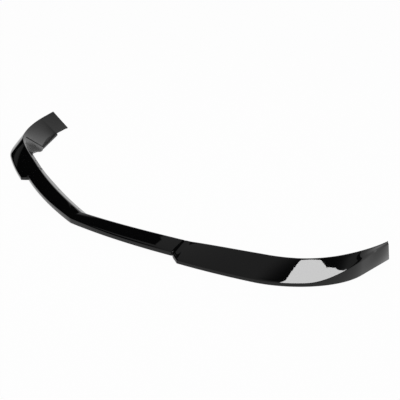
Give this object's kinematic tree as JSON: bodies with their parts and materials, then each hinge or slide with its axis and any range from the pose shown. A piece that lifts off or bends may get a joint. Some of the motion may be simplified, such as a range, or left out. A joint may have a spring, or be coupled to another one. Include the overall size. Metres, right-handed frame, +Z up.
{
  "type": "front splitter lip",
  "caption": "Gloss black car front splitter lip: a centre blade with a shallow V nose between side blades that wrap the bumper corners and rise into end walls.",
  "frame": {"origin": "bottom centre of the bounding box: on the car's middle plane, on the plane of the lower edge, halfway between the nose and the rear ends", "axes": "+X across the car, to the right for someone who stands in front of it; +Y rearward, the nose points to -Y; +Z up"},
  "size_m": [1.8386, 0.5772, 0.0915],
  "materials": {
    "shell": "gloss black paint on moulded ABS",
    "screws": "zinc-plated steel"
  },
  "bodies": {
    "root": {"centre_lip": "shell", "left_side_lip": "shell", "right_side_lip": "shell", "joint_screws": "screws"}
  },
  "joints": []
}
